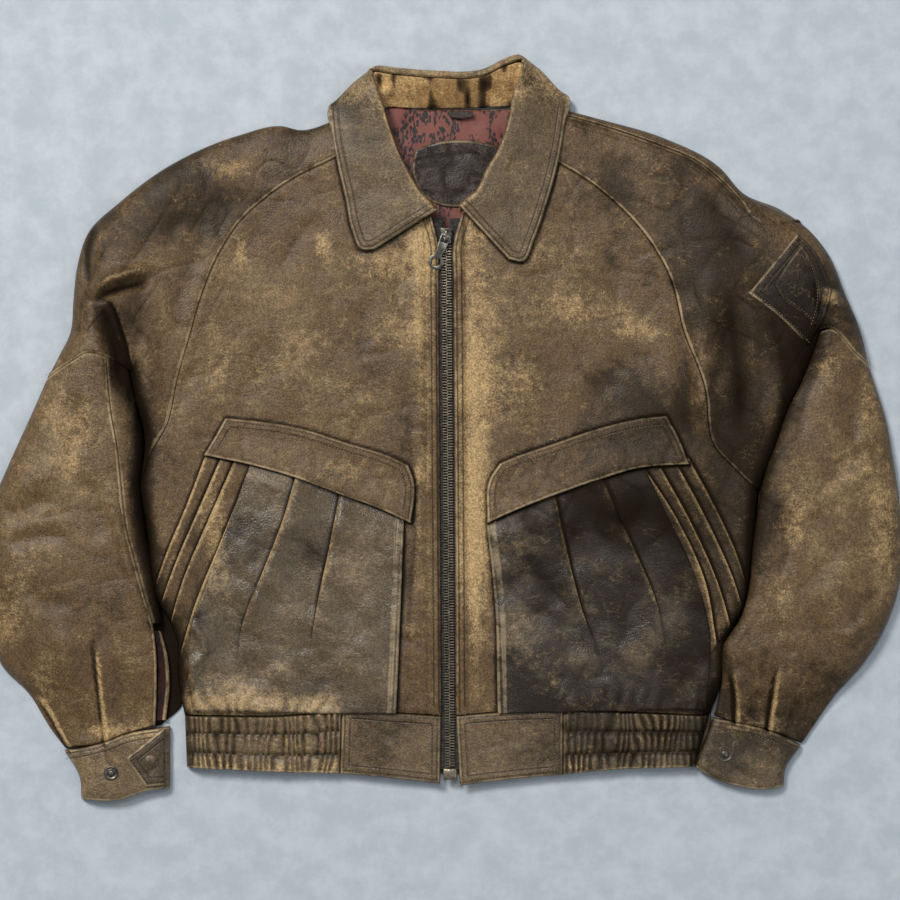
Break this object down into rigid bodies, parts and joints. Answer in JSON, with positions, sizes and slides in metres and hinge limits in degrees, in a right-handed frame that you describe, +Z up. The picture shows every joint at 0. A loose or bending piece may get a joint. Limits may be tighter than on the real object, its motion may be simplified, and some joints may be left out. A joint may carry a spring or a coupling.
{
  "type": "worn leather jacket",
  "caption": "Worn brown leather blouson laid flat on its back, zip closed, with slanted flap pockets, a pointed collar, gathered waistband and snap cuffs.",
  "frame": {"origin": "on the floor, at the flat underside of the back panel, under the zip and half way up the garment", "axes": "+Y towards the collar, +X towards the wearer's left, +Z up off the floor, out of the garment's front"},
  "size_m": [0.9219, 0.7464, 0.0342],
  "materials": {
    "brown_leather": "worn semi-matte",
    "dark_leather": "worn semi-matte",
    "worn_tan_leather": "rubbed through to tan",
    "printed_lining": "printed satin",
    "zip_tape": "woven",
    "antique_metal": "antique, dark"
  },
  "bodies": {
    "jacket": {"back_panel": "brown_leather", "back_waistband": "worn_tan_leather", "collar_fall": "worn_tan_leather", "collar_stand": "worn_tan_leather", "hanger_loop": "dark_leather", "left_cuff": "worn_tan_leather", "left_cuff_stud": "antique_metal", "left_cuff_tab": "worn_tan_leather", "left_front": "brown_leather", "left_pocket_flap": "brown_leather", "left_pocket_pouch": "dark_leather", "left_pocket_tucks": "brown_leather", "left_sleeve_lower_outer": "brown_leather", "left_sleeve_lower_under": "brown_leather", "left_sleeve_patch": "dark_leather", "left_sleeve_patch_flap": "dark_leather", "left_sleeve_upper_back": "brown_leather", "left_sleeve_upper_front": "brown_leather", "left_waistband_side": "worn_tan_leather", "left_waistband_tab": "worn_tan_leather", "left_zip_tape": "zip_tape", "neck_label": "dark_leather", "neck_lining": "printed_lining", "right_cuff": "worn_tan_leather", "right_cuff_cap": "antique_metal", "right_cuff_stud": "antique_metal", "right_cuff_tab": "worn_tan_leather", "right_front": "brown_leather", "right_pocket_flap": "brown_leather", "right_pocket_pouch": "dark_leather", "right_pocket_tucks": "brown_leather", "right_sleeve_lower_outer": "brown_leather", "right_sleeve_lower_under": "brown_leather", "right_sleeve_upper_back": "brown_leather", "right_sleeve_upper_front": "brown_leather", "right_slit_lining": "printed_lining", "right_waistband_side": "worn_tan_leather", "right_waistband_tab": "worn_tan_leather", "right_zip_tape": "zip_tape", "zip_box": "antique_metal", "zip_slider": "antique_metal", "zip_teeth": "antique_metal"},
    "zip_pull": {"zip_pull": "antique_metal"}
  },
  "joints": [
    {"name": "zip_pull_hinge", "type": "hinge", "parent": "jacket", "child": "zip_pull", "pos_m": [-0.00185, 0.194, 0.0208], "axis": [-0.9336, 0.3584, 0], "range_deg": [0, 140]}
  ]
}
